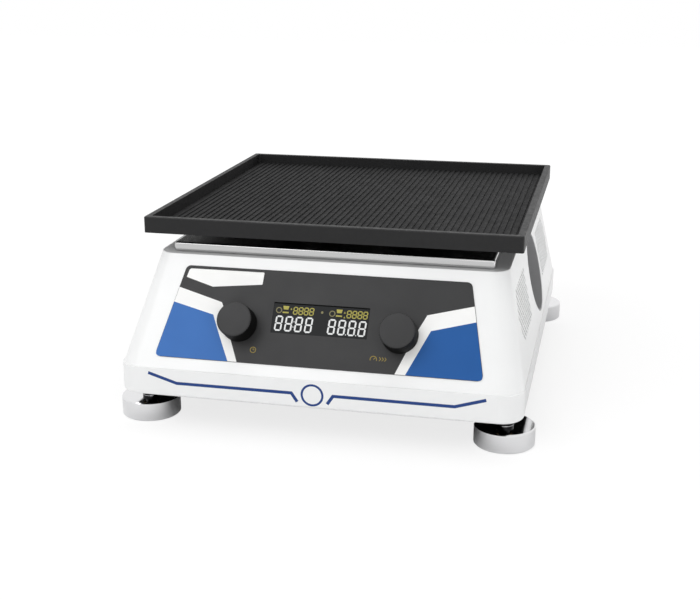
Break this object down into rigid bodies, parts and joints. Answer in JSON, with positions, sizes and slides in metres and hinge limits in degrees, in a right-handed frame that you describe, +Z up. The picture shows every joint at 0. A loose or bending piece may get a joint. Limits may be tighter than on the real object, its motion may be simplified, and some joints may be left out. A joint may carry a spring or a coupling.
{
  "type": "linear shaker",
  "caption": "Bench-top linear shaker: a shallow square tray with a ribbed mat slides from side to side on a sloping-front base with display, push-and-turn knobs and round feet.",
  "frame": {"origin": "on the bench, under the middle of the base", "axes": "+X to the right seen from the front and along the shaking motion, +Y to the back, +Z up"},
  "size_m": [0.387, 0.454, 0.1825],
  "materials": {
    "housing_white": "smooth moulded shell, satin",
    "panel_grey": "fine grained dark grey panel",
    "hold_grey": "fine grained grey cup",
    "knob_grey": "soft dark grey knob",
    "window_clear": "smoked clear window",
    "display_dark": "dark display glass",
    "board_green": "green circuit board",
    "tray_black": "fine textured black coating",
    "mat_black": "ribbed black rubber",
    "platform_steel": "brushed stainless sheet",
    "foot_steel": "turned and polished",
    "plated_steel": "zinc plated sheet and screws",
    "bright_steel": "ground steel",
    "machined_aluminium": "milled, satin",
    "brass": "turned",
    "belt_rubber": "matt",
    "motor_black": "black enamel",
    "fitting_black": "moulded black"
  },
  "bodies": {
    "base": {"base_tub": "housing_white", "upper_housing": "housing_white", "top_panel": "panel_grey", "hand_hold_left": "hold_grey", "hand_hold_right": "hold_grey", "control_panel": "panel_grey", "display_window": "window_clear", "display_module": "display_dark", "control_board": "board_green", "board_standoffs": "brass", "time_encoder": "fitting_black", "speed_encoder": "fitting_black", "chassis_plate": "plated_steel", "chassis_screws": "plated_steel", "deck_plate": "machined_aluminium", "deck_pillars": "machined_aluminium", "deck_screws": "plated_steel", "rail_front": "bright_steel", "rail_rear": "bright_steel", "crank_bearing_housing": "machined_aluminium", "crank_bearings": "bright_steel", "drive_motor": "motor_black", "motor_bracket": "plated_steel", "drive_belt": "belt_rubber", "mains_inlet": "fitting_black", "switch_frame": "fitting_black", "power_supply": "plated_steel", "housing_screws": "plated_steel", "foot_inserts": "brass"},
    "carriage": {"bearing_block_front_left": "bright_steel", "bearing_block_front_right": "bright_steel", "bearing_block_rear_left": "bright_steel", "bearing_block_rear_right": "bright_steel", "carriage_plate": "machined_aluminium", "tray_posts": "machined_aluminium", "platform_plate": "platform_steel", "tray_spacers": "fitting_black", "tray": "tray_black", "tray_mat": "mat_black", "tray_screws": "plated_steel", "wrist_pin": "bright_steel"},
    "rod": {"connecting_rod": "machined_aluminium", "rod_bearings": "bright_steel", "crank_pin_screw": "bright_steel"},
    "crank": {"crank_shaft": "bright_steel", "crank_disc": "machined_aluminium", "driven_pulley": "machined_aluminium"},
    "motor_rotor": {"motor_shaft": "bright_steel", "motor_pulley": "machined_aluminium"},
    "time_plunger": {"time_push_plate": "plated_steel"},
    "time_dial": {"time_shaft": "bright_steel", "time_knob": "knob_grey"},
    "speed_plunger": {"speed_push_plate": "plated_steel"},
    "speed_dial": {"speed_shaft": "bright_steel", "speed_knob": "knob_grey"},
    "power_button": {"power_rocker": "fitting_black"},
    "foot_front_left": {"levelling_foot_front_left": "foot_steel"},
    "foot_front_right": {"levelling_foot_front_right": "foot_steel"},
    "foot_rear_left": {"levelling_foot_rear_left": "foot_steel"},
    "foot_rear_right": {"levelling_foot_rear_right": "foot_steel"}
  },
  "joints": [
    {"name": "tray_slide", "type": "slide", "parent": "base", "child": "carriage", "axis": [1, 0, 0], "range_m": [-0.01, 0.01]},
    {"name": "crank_spin", "type": "hinge", "parent": "base", "child": "crank", "pos_m": [-0.045, 0.007, 0.09], "axis": [0, 0, 1], "continuous": true},
    {"name": "motor_spin", "type": "hinge", "parent": "base", "child": "motor_rotor", "pos_m": [-0.112, 0.007, 0.07], "axis": [0, 0, 1], "continuous": true},
    {"name": "rod_swing", "type": "hinge", "parent": "carriage", "child": "rod", "pos_m": [0.025, 0.007, 0.1055], "axis": [0, 0, 1], "range_deg": [0, 16.38]},
    {"name": "time_press", "type": "slide", "parent": "base", "child": "time_plunger", "axis": [0, 0.8481, -0.5298], "range_m": [0, 0.0008], "stiffness_N_per_m": 1500, "springref_m": -0.001},
    {"name": "time_turn", "type": "hinge", "parent": "time_plunger", "child": "time_dial", "pos_m": [-0.0734, -0.20061, 0.09572], "axis": [0, -0.8481, 0.5298], "continuous": true},
    {"name": "speed_press", "type": "slide", "parent": "base", "child": "speed_plunger", "axis": [0, 0.8481, -0.5298], "range_m": [0, 0.0008], "stiffness_N_per_m": 1500, "springref_m": -0.001},
    {"name": "speed_turn", "type": "hinge", "parent": "speed_plunger", "child": "speed_dial", "pos_m": [0.0734, -0.20061, 0.09572], "axis": [0, -0.8481, 0.5298], "continuous": true},
    {"name": "power_rock", "type": "hinge", "parent": "base", "child": "power_button", "pos_m": [0.062, 0.21804, 0.08671], "axis": [-1, 0, 0], "range_deg": [0, 16]},
    {"name": "foot_front_left_turn", "type": "hinge", "parent": "base", "child": "foot_front_left", "pos_m": [-0.1663, -0.1906, 0.03], "axis": [0, 0, 1], "continuous": true},
    {"name": "foot_front_right_turn", "type": "hinge", "parent": "base", "child": "foot_front_right", "pos_m": [0.1663, -0.1906, 0.03], "axis": [0, 0, 1], "continuous": true},
    {"name": "foot_rear_left_turn", "type": "hinge", "parent": "base", "child": "foot_rear_left", "pos_m": [-0.1663, 0.1906, 0.03], "axis": [0, 0, 1], "continuous": true},
    {"name": "foot_rear_right_turn", "type": "hinge", "parent": "base", "child": "foot_rear_right", "pos_m": [0.1663, 0.1906, 0.03], "axis": [0, 0, 1], "continuous": true}
  ],
  "couplings": [
    {"joint": "motor_spin", "follows": "crank_spin", "ratio": 2.6667}
  ]
}
